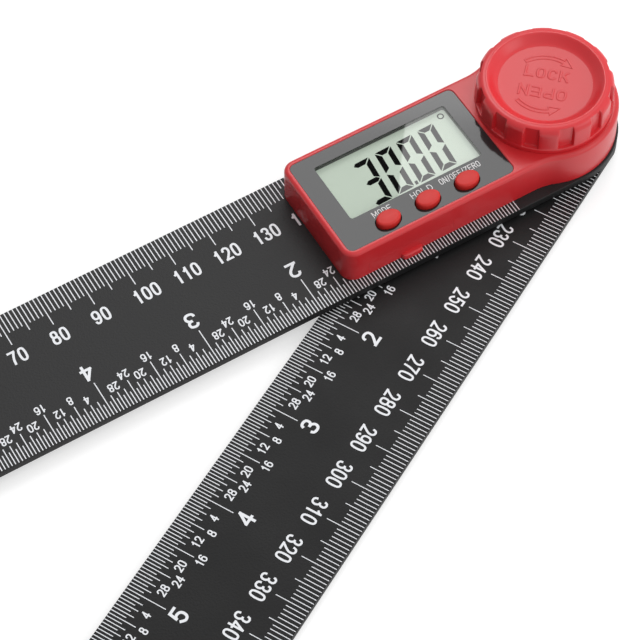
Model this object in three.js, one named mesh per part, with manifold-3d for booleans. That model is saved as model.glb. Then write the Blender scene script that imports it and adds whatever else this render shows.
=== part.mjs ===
// Digital angle finder: two flat ruler arms on one pivot, with a display head and a lock knob.
// Millimetres, +Z up. The origin is on the pivot axis, on the underside of the lower arm.
// The upper arm points along -X, and the head's text reads from -Y.

import * as THREE from "three";
import { mergeVertices } from "three/addons/utils/BufferGeometryUtils.js";
import Module from "manifold-3d";

const wasm = await Module();
wasm.setup();

// Arms
const arm_width = 35;
const arm_thickness = 2;
const arm_reach = 200.5;
const arm_tip_corner = 1.5;
const arm_gap = 0.4;
const arm_angle = THREE.MathUtils.degToRad(28.33);

// Head, as its outline on the upper arm and its height above it
const head_reach = 60.1;
const head_half_width = 14.8;
const head_round = 17;
const head_corner = 3.2;
const head_neck = 14;
const head_height = 9.4;
const head_draft = 0.1;
const head_edge = 0.7;
const wall = 1.5;
const deck = 0.8;

// Panel, window and display
const panel_end_margin = 1.5;
const panel_left = head_reach - panel_end_margin;
const panel_right = 16.2;
const panel_half_width = 13.35;
const panel_corner = 1.5;
const panel_thickness = 1;
const panel_step = 0.2;
const window_end_margin = 4.8;
const window_knob_margin = 4;
const window_left = panel_left - window_end_margin;
const window_right = panel_right + window_knob_margin;
const window_middle = (window_left + window_right) / 2;
const window_front = 5.9;
const window_back = 10.1;
const window_corner = 0.6;
const lens_thickness = 0.5;
const glass_margin = 1.05;
const glass_thickness = 1.6;
const glass_below_panel = 0.4;
const holder_rim = 0.9;
const strip_width = 1.6;
const strip_end_margin = 4;

// Circuit board and what it carries
const board_thickness = 0.8;
const board_top_above_arm = 5.2;
const board_sensor_radius = 13.6;
const board_hole = 5;
const chip_radius = 3.4;
const chip_height = 0.9;
const dome_radius = 1.9;
const dome_height = 0.5;

// Buttons
const button_pitch_share = 0.2994;
const button_pitch = (window_left - window_right) * button_pitch_share;
const button_xs = [window_middle + button_pitch, window_middle, window_middle - button_pitch];
const button_front = 10.3;
const button_length_share = 0.2883;
const button_half_length = button_pitch * button_length_share;
const button_half_width = 2.05;
const button_stand = 1.6;
const button_crown = 0.55;
const crown_height_shares = [0, 0.65, 1];
const crown_width_shares = [1, 0.88, 0.55];
const button_travel = 0.5;
const button_ear = 0.8;
const button_ear_thickness = 0.6;

// Battery tray and cell
const cell_radius = 10;
const cell_height = 3.2;
const tray_end_margin = 5.55;
const tray_wall = 0.65;
const tray_floor = 0.5;
const tray_face = 1.4;
const tray_side_share = 0.62;
const tray_window_share = 0.6;
const lip_width = 5.6;
const lip_height = 2.1;
const lip_stand = 0.6;
const contact_thickness = 0.3;
const contact_width = 5;
const contact_length = 12;

// Pivot
const hub_radius = 9.5;
const hub_height_above_arm = 3.4;
const bolt_radius = 3;
const bolt_head_radius = 5;
const bolt_head_thickness = 1.4;
const rotor_radius = 13;
const rotor_thickness = 0.6;
const slip_ring_outer = 16;
const slip_ring_thickness = 0.3;
const hub_screw_count = 3;
const hub_screw_circle = 7.3;
const hub_screw_radius = 0.9;
const hub_screw_length = 5;

// Case screws
const case_screw_end_margin = 3.2;
const case_screw_left = head_reach - case_screw_end_margin;
const case_screw_right = 19;
const case_screw_side = 11.7;
const case_screw_radius = 0.8;
const case_screw_length = 6.4;
const boss_radius = 1.7;
const boss_shoulder = 0.6;

// Every countersunk head, wider than its shank by this much
const head_flare = 0.7;
const head_sink = 1;

// Lock knob and clamp washer
const washer_radius = 8;
const washer_thickness = 0.8;
const washer_pocket = 0.5;
const knob_clearance_below = 0.1;
const knob_height = 7.35;
const knob_flange_radius = 15.5;
const knob_flange_height = 1.2;
const knob_pad_radius = 15.2;
const knob_pad_count = 12;
const knob_pad_share = 0.59;
const knob_groove_depth = 0.75;
const knob_rim_drop = 1;
const knob_rim_flat = 0.5;
const knob_rim_inner = 12.95;
const knob_dish_radius = 10.75;
const knob_dish_depth = 2;
const knob_wall = 1.9;
const knob_web = 1.1;
const knob_boss_radius = 6.6;
const cap_radius = 10.6;
const cap_thickness = 0.8;
const insert_radius = 5;
const insert_height = 3.6;
const bolt_top_below_cap = 0.5;

// Clearances, and the overrun that takes a cut past the face it opens
const fit = 0.1;
const slide_fit = 0.15;
const running_fit = 0.1;
const hole_fit = 0.4;
const overrun = 1;

// Fineness of round shapes, in sides
const round_sides = 48;
const small_sides = 16;
const arc_steps = 5;
const groove_steps = 2;
const weld = 1e-4;

// Heights that the rest follows
const upper_arm_z = arm_thickness + arm_gap;
const head_z = upper_arm_z + arm_thickness;
const head_top = head_z + head_height;
const panel_top = head_top - panel_step;
const panel_z = panel_top - panel_thickness;
const deck_z = panel_z - deck;
const glass_top = panel_z - glass_below_panel;
const glass_z = glass_top - glass_thickness;
const board_top = head_z + board_top_above_arm;
const board_z = board_top - board_thickness;
const hub_top = head_z + hub_height_above_arm;
const pocket_z = head_top - washer_pocket;
const washer_top = pocket_z + washer_thickness;
const knob_z = head_top + knob_clearance_below;
const knob_top = knob_z + knob_height;
const dish_z = knob_top - knob_dish_depth;
const cap_z = dish_z - cap_thickness;
const insert_z = washer_top + fit;
const bolt_top = cap_z - bolt_top_below_cap;

// A closed geometry as a solid that can be joined and cut.
function solid(geometry) {
  geometry.deleteAttribute("normal");
  geometry.deleteAttribute("uv");
  const merged = mergeVertices(geometry, weld);
  const corners = merged.index.array;
  const kept = [];
  for (let i = 0; i < corners.length; i += 3) {
    const [a, b, c] = corners.slice(i, i + 3);
    if (a !== b && b !== c && c !== a) kept.push(a, b, c);
  }
  return new wasm.Manifold(
    new wasm.Mesh({
      numProp: 3,
      vertProperties: merged.attributes.position.array,
      triVerts: new Uint32Array(kept),
    }),
  );
}

// An outline, as points, pushed up from one height to another.
function prism(points, low, high) {
  const shape = new THREE.Shape(points);
  const geometry = new THREE.ExtrudeGeometry(shape, { depth: high - low, bevelEnabled: false });
  return solid(geometry.translate(0, 0, low));
}

// A skin through outlines of as many points each, one above the other, closed at both ends.
function loft(sections) {
  const count = sections[0].points.length;
  const positions = sections.flatMap(({ points, z }) => points.flatMap((p) => [p.x, p.y, z]));
  const faces = [];
  for (let level = 0; level + 1 < sections.length; level++) {
    for (let i = 0; i < count; i++) {
      const next = (i + 1) % count;
      const [a, b] = [level * count + i, level * count + next];
      const [c, d] = [b + count, a + count];
      faces.push(a, b, c, a, c, d);
    }
  }
  const last = (sections.length - 1) * count;
  for (const [a, b, c] of THREE.ShapeUtils.triangulateShape(sections[0].points, [])) {
    faces.push(a, c, b);
  }
  for (const [a, b, c] of THREE.ShapeUtils.triangulateShape(sections.at(-1).points, [])) {
    faces.push(last + a, last + b, last + c);
  }
  const geometry = new THREE.BufferGeometry();
  geometry.setAttribute("position", new THREE.Float32BufferAttribute(positions, 3));
  geometry.setIndex(faces);
  return solid(geometry);
}

// A profile of radius and height, turned about the pivot axis or one beside it.
function turned(profile, x = 0, y = 0, sides = round_sides) {
  const points = profile.map(([radius, height]) => new THREE.Vector2(radius, height));
  const geometry = new THREE.LatheGeometry(points, sides);
  return solid(geometry.rotateX(Math.PI / 2).translate(x, y, 0));
}

function disc(radius, low, high, x = 0, y = 0, sides = round_sides) {
  const profile = [[0, low], [radius, low], [radius, high], [0, high]];
  return turned(profile, x, y, sides);
}

function box(x_low, x_high, y_low, y_high, z_low, z_high) {
  const geometry = new THREE.BoxGeometry(x_high - x_low, y_high - y_low, z_high - z_low);
  geometry.translate((x_low + x_high) / 2, (y_low + y_high) / 2, (z_low + z_high) / 2);
  return solid(geometry);
}

// Points along an arc, from one angle to another in degrees.
function arc(x, y, radius, from, to, steps = arc_steps) {
  return Array.from({ length: steps + 1 }, (_, i) => {
    const angle = THREE.MathUtils.degToRad(from + ((to - from) * i) / steps);
    return new THREE.Vector2(x + radius * Math.cos(angle), y + radius * Math.sin(angle));
  });
}

function rounded_box(x_low, x_high, y_low, y_high, radius) {
  return [
    ...arc(x_high - radius, y_low + radius, radius, -90, 0),
    ...arc(x_high - radius, y_high - radius, radius, 0, 90),
    ...arc(x_low + radius, y_high - radius, radius, 90, 180),
    ...arc(x_low + radius, y_low + radius, radius, 180, 270),
  ];
}

function ellipse(x, y, half_length, half_width, sides = small_sides) {
  return Array.from({ length: sides }, (_, i) => {
    const angle = (i / sides) * 2 * Math.PI;
    return new THREE.Vector2(x + half_length * Math.cos(angle), y + half_width * Math.sin(angle));
  });
}

// A countersunk screw that points up, with its flat head's face at the given height.
function screw(radius, length, low, x, y, clearance = 0) {
  const [shank, flat] = [radius + clearance, radius + head_flare + clearance];
  const profile = [
    [0, low],
    [flat, low],
    [shank, low + head_sink],
    [shank, low + length],
    [0, low + length],
  ];
  return turned(profile, x, y, small_sides);
}

function join(parts) {
  return parts.reduce((whole, part) => whole.add(part));
}

function cut(whole, tools) {
  return tools.reduce((left, tool) => left.subtract(tool), whole);
}

const model = new THREE.Group();
const swung_arm = new THREE.Group();
swung_arm.rotation.z = arm_angle - Math.PI;
model.add(swung_arm);

function piece(name, shape, material, group = model) {
  const { numProp, vertProperties, triVerts } = shape.getMesh();
  const geometry = new THREE.BufferGeometry();
  geometry.setAttribute("position", new THREE.BufferAttribute(vertProperties, numProp));
  geometry.setIndex(new THREE.BufferAttribute(triVerts, 1));
  const mesh = new THREE.Mesh(geometry, material);
  mesh.name = name;
  group.add(mesh);
}

const material = (color, roughness, metalness = 0) =>
  new THREE.MeshStandardMaterial({ color, roughness, metalness });

const composite = () => material(0x2b2b2b, 0.5);
const red_plastic = () => material(0xc4272c, 0.35);
const grey_print = () => material(0x5c5c5e, 0.3);
const clear_plastic = () => material(0xdfe6df, 0.05);
const display_glass = () => material(0xbfcdbf, 0.1);
const black_plastic = () => material(0x161616, 0.5);
const board_green = () => material(0x1f5b33, 0.5);
const rubber = () => material(0x3a3a3a, 0.9);
const steel = () => material(0xb9bcc0, 0.3, 1);
const brass = () => material(0xb89243, 0.3, 1);
const nylon = () => material(0xe8e6dc, 0.6);

// Arms: flat strips with a round end about the pivot and a square tip.
function arm(low, tools, direction) {
  const [half, reach] = [arm_width / 2, arm_reach];
  const end = [
    ...arc(0, 0, half, -90, 90, round_sides / 2),
    ...arc(arm_tip_corner - reach, half - arm_tip_corner, arm_tip_corner, 90, 180),
    ...arc(arm_tip_corner - reach, arm_tip_corner - half, arm_tip_corner, 180, 270),
  ];
  const outline = end.map((p) => new THREE.Vector2(p.x * direction, p.y * direction));
  return cut(prism(outline, low, low + arm_thickness), tools);
}

const hub_bore = disc(hub_radius + running_fit, upper_arm_z - overrun, head_z + overrun);
const case_screw_places = [
  [-case_screw_left, -case_screw_side],
  [-case_screw_left, case_screw_side],
  [-case_screw_right, -case_screw_side],
  [-case_screw_right, case_screw_side],
];
const case_screw_cuts = case_screw_places.map(([x, y]) =>
  screw(case_screw_radius, case_screw_length + fit, upper_arm_z, x, y, fit),
);
piece("upper_arm", arm(upper_arm_z, [hub_bore, ...case_screw_cuts], 1), composite());
case_screw_places.forEach(([x, y], i) => {
  const shape = screw(case_screw_radius, case_screw_length, upper_arm_z, x, y);
  piece("case_screw_" + (i + 1), shape, steel());
});

const hub_screw_places = Array.from({ length: hub_screw_count }, (_, i) => {
  const angle = (i / hub_screw_count) * 2 * Math.PI;
  return [hub_screw_circle * Math.cos(angle), hub_screw_circle * Math.sin(angle)];
});
const hub_screw_cuts = hub_screw_places.map(([x, y]) =>
  screw(hub_screw_radius, hub_screw_length + fit, 0, x, y, fit),
);
const bolt_cut = disc(bolt_radius + fit, -overrun, bolt_top);
const bolt_head_cut = disc(bolt_head_radius + fit, -overrun, bolt_head_thickness + fit);
const lower_arm = arm(0, [bolt_cut, bolt_head_cut, ...hub_screw_cuts], -1);
piece("lower_arm", lower_arm, composite(), swung_arm);

// Pivot: the hub and bolt turn with the lower arm, and the hub runs in the upper arm's bore.
const hub = disc(hub_radius, arm_thickness, hub_top);
piece("pivot_hub", cut(hub, [bolt_cut, ...hub_screw_cuts]), steel(), swung_arm);
hub_screw_places.forEach(([x, y], i) => {
  const shape = screw(hub_screw_radius, hub_screw_length, 0, x, y);
  piece("hub_screw_" + (i + 1), shape, steel(), swung_arm);
});
const bolt = disc(bolt_head_radius, 0, bolt_head_thickness);
piece("pivot_bolt", bolt.add(disc(bolt_radius, 0, bolt_top)), steel(), swung_arm);
const slip_z = arm_thickness + (arm_gap - slip_ring_thickness) / 2;
const slip_ring = disc(slip_ring_outer, slip_z, slip_z + slip_ring_thickness);
const slip_bore = disc(hub_radius + hole_fit, 0, head_z);
piece("slip_ring", slip_ring.subtract(slip_bore), nylon(), swung_arm);
const rotor = disc(rotor_radius, hub_top, hub_top + rotor_thickness);
piece("sensor_rotor", rotor.subtract(bolt_cut), board_green(), swung_arm);

// Head outline, drawn in from its foot by a distance: square left end, neck and round right end.
function head_outline(inset) {
  const [half, round] = [head_half_width - inset, head_round - inset];
  const [corner, neck] = [head_corner - inset, head_neck + inset];
  const left = inset - head_reach;
  const neck_y = half + neck;
  const neck_x = -Math.sqrt((round + neck) ** 2 - neck_y ** 2);
  const meet = THREE.MathUtils.radToDeg(Math.atan2(neck_y, -neck_x));
  return [
    ...arc(neck_x, -neck_y, neck, 90, meet),
    ...arc(0, 0, round, meet - 180, 180 - meet, round_sides / 2),
    ...arc(neck_x, neck_y, neck, -meet, -90),
    ...arc(left + corner, half - corner, corner, 90, 180),
    ...arc(left + corner, corner - half, corner, 180, 270),
  ];
}

const head_body = loft([
  { points: head_outline(0), z: head_z },
  { points: head_outline(head_draft), z: head_top - head_edge },
  { points: head_outline(head_draft + head_edge), z: head_top },
]);
const cavity = prism(head_outline(head_draft + wall), head_z - overrun, deck_z);
const panel_shape = (grow) =>
  rounded_box(
    -panel_left - grow,
    -panel_right + grow,
    -panel_half_width - grow,
    panel_half_width + grow,
    panel_corner + grow,
  );
const window_shape = (grow) =>
  rounded_box(
    -window_left - grow,
    -window_right + grow,
    -window_front - grow,
    window_back + grow,
    window_corner + grow,
  );
const glass_box = (grow, low, high) =>
  box(
    -window_left - glass_margin - grow,
    -window_right + glass_margin + grow,
    -window_front - glass_margin - grow,
    window_back + glass_margin + grow,
    low,
    high,
  );

// Buttons: oval caps through the panel, each held under the deck by an ear at both ends.
const button_shape = (x, grow) =>
  ellipse(-x, -button_front, button_half_length + grow, button_half_width + grow);
const button_low = board_top + dome_height + button_travel;
const button_top = panel_top + button_stand;
function button(x) {
  const oval = (share) =>
    ellipse(-x, -button_front, button_half_length * share, button_half_width * share);
  const crown = crown_width_shares.map((share, i) => ({
    points: oval(share),
    z: button_top - button_crown * (1 - crown_height_shares[i]),
  }));
  const ear_reach = button_half_length + button_ear;
  const ears = box(
    -x - ear_reach,
    -x + ear_reach,
    -button_front - button_half_width / 2,
    -button_front + button_half_width / 2,
    deck_z - fit - button_ear_thickness,
    deck_z - fit,
  );
  return loft([{ points: oval(1), z: button_low }, ...crown]).add(ears);
}

// Battery tray: it slides out of the front wall with its cell, pulled by the lip.
const tray_half = cell_radius + fit + tray_wall;
const tray_x = head_reach - tray_end_margin - tray_half;
const tray_low = head_z + fit;
const tray_high = tray_low + tray_floor + cell_height + fit;
const cell_y = tray_face + fit + cell_radius - head_half_width;
const cell_z = tray_low + tray_floor;
const tray_slot = box(
  -tray_x - tray_half - slide_fit,
  -tray_x + tray_half + slide_fit,
  -head_half_width - overrun,
  head_draft + wall + slide_fit - head_half_width,
  head_z - overrun,
  tray_high + slide_fit,
);
const tray_block = box(
  -tray_x - tray_half,
  -tray_x + tray_half,
  -head_half_width - overrun,
  cell_y + cell_radius * tray_side_share,
  tray_low,
  tray_high,
);
const cell_well = disc(cell_radius + fit, cell_z, tray_high + overrun, -tray_x, cell_y);
const well_mouth = box(
  -tray_x - cell_radius - fit,
  -tray_x + cell_radius + fit,
  cell_y,
  cell_y + cell_radius + overrun,
  cell_z,
  tray_high + overrun,
);
const floor_window = disc(cell_radius * tray_window_share, 0, head_top, -tray_x, cell_y);
const lip_half = new THREE.Shape();
lip_half.absellipse(0, 0, lip_stand + overrun, lip_height, 0, Math.PI / 2, false, 0);
const lip_points = [new THREE.Vector2(0, 0), ...lip_half.getPoints(arc_steps)];
const lip_geometry = new THREE.ExtrudeGeometry(new THREE.Shape(lip_points), {
  depth: lip_width,
  bevelEnabled: false,
});
lip_geometry.rotateX(Math.PI / 2).rotateZ(-Math.PI / 2);
lip_geometry.translate(lip_width / 2 - tray_x, overrun - head_half_width, tray_low);
const tray = cut(tray_block.intersect(head_body), [cell_well, well_mouth, floor_window]);
piece("battery_tray", tray.add(solid(lip_geometry)), red_plastic());
piece("coin_cell", disc(cell_radius, cell_z, cell_z + cell_height, -tray_x, cell_y), steel());

// Contacts: one springs down on the cell, the other stands behind its rim.
const top_contact = box(
  -tray_x - contact_width / 2,
  -tray_x + contact_width / 2,
  cell_y - contact_length / 2,
  cell_y + contact_length / 2,
  board_z - contact_thickness,
  board_z,
);
piece("cell_contact_top", top_contact, steel());
const rim_contact_y = cell_y + cell_radius + fit;
const rim_contact = box(
  -tray_x - contact_width / 2,
  -tray_x + contact_width / 2,
  rim_contact_y,
  rim_contact_y + contact_thickness,
  head_z + tray_floor,
  board_z,
);
piece("cell_contact_rim", rim_contact, steel());

// Head shell: the red cover, open below, with a bed for the panel and a boss at each case screw.
const pads = case_screw_places.map(([x, y]) =>
  disc(boss_radius + boss_shoulder, board_top, panel_z, x, y, small_sides),
);
const posts = case_screw_places.map(([x, y]) =>
  disc(boss_radius, head_z, panel_z, x, y, small_sides),
);
const holder_box = (grow, low, high) => glass_box(fit + holder_rim + grow, low, high);
const button_holes = button_xs.map((x) =>
  prism(button_shape(x, slide_fit), button_low - overrun, button_top),
);
const panel_bed = prism(panel_shape(fit), panel_z, head_top + overrun);
const washer_bed = disc(washer_radius + fit, pocket_z, head_top + overrun);
const bolt_hole = disc(bolt_radius + hole_fit, head_z, head_top + overrun);
const head_walls = join([head_body.subtract(cavity), ...pads, ...posts]);
const shell = cut(head_walls, [
  panel_bed,
  washer_bed,
  bolt_hole,
  tray_slot,
  holder_box(slide_fit, board_top, panel_z + overrun),
  ...button_holes,
  ...case_screw_cuts,
]);
piece("head_shell", shell, red_plastic());

// Display: the panel, its clear window, and the glass in a dark holder that rests on the board.
const window_cut = prism(window_shape(0), board_top, panel_top + overrun);
const panel = prism(panel_shape(0), panel_z, panel_top);
piece("display_panel", cut(panel, [window_cut, ...button_holes]), grey_print());
const lens = prism(window_shape(-fit), panel_top - lens_thickness, panel_top);
piece("window_lens", lens, clear_plastic());
piece("display_glass", glass_box(0, glass_z, glass_top), display_glass());
const well = glass_box(fit, glass_z - fit, glass_top + fit);
const holder = holder_box(0, board_top, panel_z);
piece("glass_holder", cut(holder, [well, window_cut]), black_plastic());
const strip = box(
  -window_left + strip_end_margin,
  -window_right - strip_end_margin,
  window_back - fit - strip_width,
  window_back - fit,
  board_top,
  glass_z - fit,
);
piece("contact_strip", strip, rubber());

// Circuit board: it carries the display, the keys and the fixed half of the angle sensor.
const inner_half = head_half_width - head_draft - wall - fit;
const board_end = head_reach - head_draft - wall - fit;
const board_bar = box(-board_end, 0, -inner_half, inner_half, board_z, board_top);
const board_disc = disc(board_sensor_radius, board_z, board_top);
const board_opening = disc(board_hole, board_z - overrun, board_top + overrun);
const board_notches = case_screw_places.map(([x, y]) =>
  disc(boss_radius + fit, board_z - overrun, board_top + overrun, x, y, small_sides),
);
const board_limit = prism(head_outline(head_draft + wall + fit), head_z, head_top);
const board = board_bar.add(board_disc).intersect(board_limit);
piece("circuit_board", cut(board, [board_opening, ...board_notches]), board_green());
const chip = disc(chip_radius, board_top, board_top + chip_height, -window_middle, 0, small_sides);
piece("display_chip", chip, black_plastic());

const button_names = ["mode", "hold", "power"];
button_xs.forEach((x, i) => {
  const dome = disc(dome_radius, board_top, board_top + dome_height, -x, -button_front, small_sides);
  piece("key_dome_" + button_names[i], dome, steel());
  piece("button_" + button_names[i], button(x), red_plastic());
});

// Clamp washer, in its bed on the head.
const washer = disc(washer_radius, pocket_z, washer_top);
piece("clamp_washer", washer.subtract(bolt_hole), steel());

// Lock knob: a skirted cap with raised finger pads, over a brass insert threaded on the bolt.
const insert_top = insert_z + insert_height;
const knob_inner = knob_pad_radius - knob_groove_depth - knob_wall;
const web_z = cap_z - knob_web;
const knob_profile = [
  [bolt_radius + fit, insert_top],
  [insert_radius + fit, insert_top],
  [insert_radius + fit, insert_z],
  [knob_boss_radius, insert_z],
  [knob_boss_radius, web_z],
  [knob_inner, web_z],
  [knob_inner, knob_z],
  [knob_flange_radius, knob_z],
  [knob_flange_radius, knob_z + knob_flange_height],
  [knob_pad_radius, knob_top - knob_rim_drop],
  [knob_rim_inner + knob_rim_flat, knob_top],
  [knob_rim_inner, knob_top],
  [knob_dish_radius, dish_z],
  [knob_dish_radius, cap_z - fit],
  [bolt_radius + fit, cap_z - fit],
  [bolt_radius + fit, insert_top],
];
const groove_floor = knob_pad_radius - knob_groove_depth;
const groove_reach = knob_flange_radius + overrun;
const pitch = 360 / knob_pad_count;
const grooves = Array.from({ length: knob_pad_count }, (_, i) => {
  const middle = (i + 1 / 2) * pitch;
  const half = (pitch * (1 - knob_pad_share)) / 2;
  const points = [
    ...arc(0, 0, groove_reach, middle - half, middle + half, groove_steps),
    ...arc(0, 0, groove_floor, middle + half, middle - half, groove_steps),
  ];
  return prism(points, knob_z + knob_flange_height, knob_top + overrun);
});
piece("lock_knob", cut(turned(knob_profile), grooves), red_plastic());
const insert = disc(insert_radius, insert_z, insert_top - fit);
piece("knob_insert", insert.subtract(disc(bolt_radius + fit, 0, knob_top)), brass());
piece("knob_cap", disc(cap_radius, cap_z, dish_z), red_plastic());

export default model;
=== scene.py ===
# Digital angle finder: two ruler arms on one pivot, with a display head and a lock knob.
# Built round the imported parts. Sizes are in millimetres and are made metres in each mesh.

import math

import bmesh
import bpy
from mathutils import Matrix, Vector


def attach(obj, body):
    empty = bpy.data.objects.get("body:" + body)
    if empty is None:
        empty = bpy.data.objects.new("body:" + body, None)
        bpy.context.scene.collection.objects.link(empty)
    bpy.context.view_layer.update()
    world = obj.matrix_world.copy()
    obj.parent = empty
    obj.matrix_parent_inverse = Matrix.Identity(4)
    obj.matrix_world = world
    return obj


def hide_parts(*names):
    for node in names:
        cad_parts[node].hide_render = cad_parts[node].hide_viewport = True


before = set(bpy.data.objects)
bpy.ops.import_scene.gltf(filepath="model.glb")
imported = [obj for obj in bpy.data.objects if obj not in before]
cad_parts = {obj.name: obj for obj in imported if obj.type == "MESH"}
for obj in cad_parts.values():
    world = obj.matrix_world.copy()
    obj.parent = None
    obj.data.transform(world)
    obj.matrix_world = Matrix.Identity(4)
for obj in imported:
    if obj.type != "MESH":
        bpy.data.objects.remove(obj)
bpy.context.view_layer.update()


# Camera: fitted to the tick marks of both printed scales and to the outlines of the head and
# the knob. It looks down on the tool from the front left, along a long lens.
camera_data = bpy.data.cameras.new("camera")
camera_data.lens = 130.376
camera_data.sensor_width = 36
camera = bpy.data.objects.new("camera", camera_data)
camera_right = Vector((0.85998163, -0.51009671, -0.01526242))
camera_up = Vector((0.43568255, 0.7182955, 0.54243183))
camera_back = Vector((-0.26572976, -0.47313098, 0.83996117))
turn = Matrix((camera_right, camera_up, camera_back)).transposed().to_4x4()
camera.matrix_world = Matrix.Translation((-0.202327, -0.255284, 0.42298)) @ turn
bpy.context.collection.objects.link(camera)
bpy.context.scene.camera = camera
bpy.context.scene.view_settings.view_transform = "Standard"


# Studio: a white floor in a white room, whose light comes mostly from above and from the right,
# with a broad soft lamp behind overhead, brighter along its far edge, and a weaker one at the
# front right. What the camera and the gloss see of the room is white.
def new_tree(owner):
    owner.use_nodes = True
    owner.node_tree.nodes.clear()
    return owner.node_tree


def add_node(tree, kind, **settings):
    node = tree.nodes.new(kind)
    for name, value in settings.items():
        if name in node.inputs:
            node.inputs[name].default_value = value
        else:
            setattr(node, name, value)
    return node


# 1 for the rays that see the background: the camera's, and those from gloss and through glass.
def seeing_rays(tree):
    rays = add_node(tree, "ShaderNodeLightPath")
    both = add_node(tree, "ShaderNodeMath", operation="MAXIMUM")
    every = add_node(tree, "ShaderNodeMath", operation="MAXIMUM")
    tree.links.new(rays.outputs["Is Camera Ray"], both.inputs[0])
    tree.links.new(rays.outputs["Is Glossy Ray"], both.inputs[1])
    tree.links.new(both.outputs[0], every.inputs[0])
    tree.links.new(rays.outputs["Is Transmission Ray"], every.inputs[1])
    return every.outputs[0]


room_world = bpy.data.worlds.new("room")
bpy.context.scene.world = room_world
room = new_tree(room_world)
toward = add_node(room, "ShaderNodeTexCoord")
lean = add_node(room, "ShaderNodeVectorMath", operation="DOT_PRODUCT")
bright_side = (0.75, -0.3, 0.6)
lean.inputs[1].default_value = bright_side
room.links.new(toward.outputs["Generated"], lean.inputs[0])
glow = add_node(room, "ShaderNodeMapRange", interpolation_type="SMOOTHSTEP")
for socket, value in (("From Min", -0.5), ("From Max", 0.9), ("To Min", 0.0), ("To Max", 1.5)):
    glow.inputs[socket].default_value = value
room.links.new(lean.outputs["Value"], glow.inputs["Value"])
seen = add_node(room, "ShaderNodeMix", data_type="FLOAT")
seen.inputs[3].default_value = 1
room.links.new(seeing_rays(room), seen.inputs[0])
room.links.new(glow.outputs["Result"], seen.inputs[2])
sky = add_node(room, "ShaderNodeBackground")
room.links.new(seen.outputs[0], sky.inputs["Strength"])
room_out = add_node(room, "ShaderNodeOutputWorld")
room.links.new(sky.outputs[0], room_out.inputs["Surface"])

floor_mesh = bpy.data.meshes.new("floor")
floor_half, floor_z = 4, -0.0004
floor_corners = [(x * floor_half, y * floor_half) for x, y in ((-1, -1), (1, -1), (1, 1), (-1, 1))]
floor_mesh.from_pydata([(x, y, floor_z) for x, y in floor_corners], [], [(0, 1, 2, 3)])
floor = bpy.data.objects.new("floor", floor_mesh)
bpy.context.collection.objects.link(floor)
floor_material = bpy.data.materials.new("white_floor")
paper = new_tree(floor_material)
matt = add_node(paper, "ShaderNodeBsdfPrincipled", Roughness=0.9)
matt.inputs["Base Color"].default_value = (0.62, 0.62, 0.62, 1)
matt.inputs["Specular IOR Level"].default_value = 0
lift = add_node(paper, "ShaderNodeMath", operation="MULTIPLY")
lift.inputs[1].default_value = 0.5
paper.links.new(seeing_rays(paper), lift.inputs[0])
matt.inputs["Emission Color"].default_value = (1, 1, 1, 1)
paper.links.new(lift.outputs[0], matt.inputs["Emission Strength"])
floor_out = add_node(paper, "ShaderNodeOutputMaterial")
paper.links.new(matt.outputs[0], floor_out.inputs["Surface"])
floor_mesh.materials.append(floor_material)


def soft_lamp(name, place, target, width, height, power):
    data = bpy.data.lights.new(name, "AREA")
    data.shape = "RECTANGLE"
    data.size = width
    data.size_y = height
    data.energy = power
    lamp = bpy.data.objects.new(name, data)
    lamp.location = place
    lamp.rotation_euler = (Vector(target) - Vector(place)).to_track_quat("-Z", "Y").to_euler()
    bpy.context.collection.objects.link(lamp)


soft_lamp("overhead_box", (0.21, 0.43, 0.78), (-0.03, 0, 0.014), 0.5, 0.5, 2.2)
soft_lamp("overhead_strip", (0.318, 0.532, 0.689), (0.078, 0.102, -0.077), 0.22, 0.162, 0.22)
soft_lamp("front_box", (0.42, -0.6, 0.42), (-0.02, 0, 0.014), 0.4, 0.4, 0.7)


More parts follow.
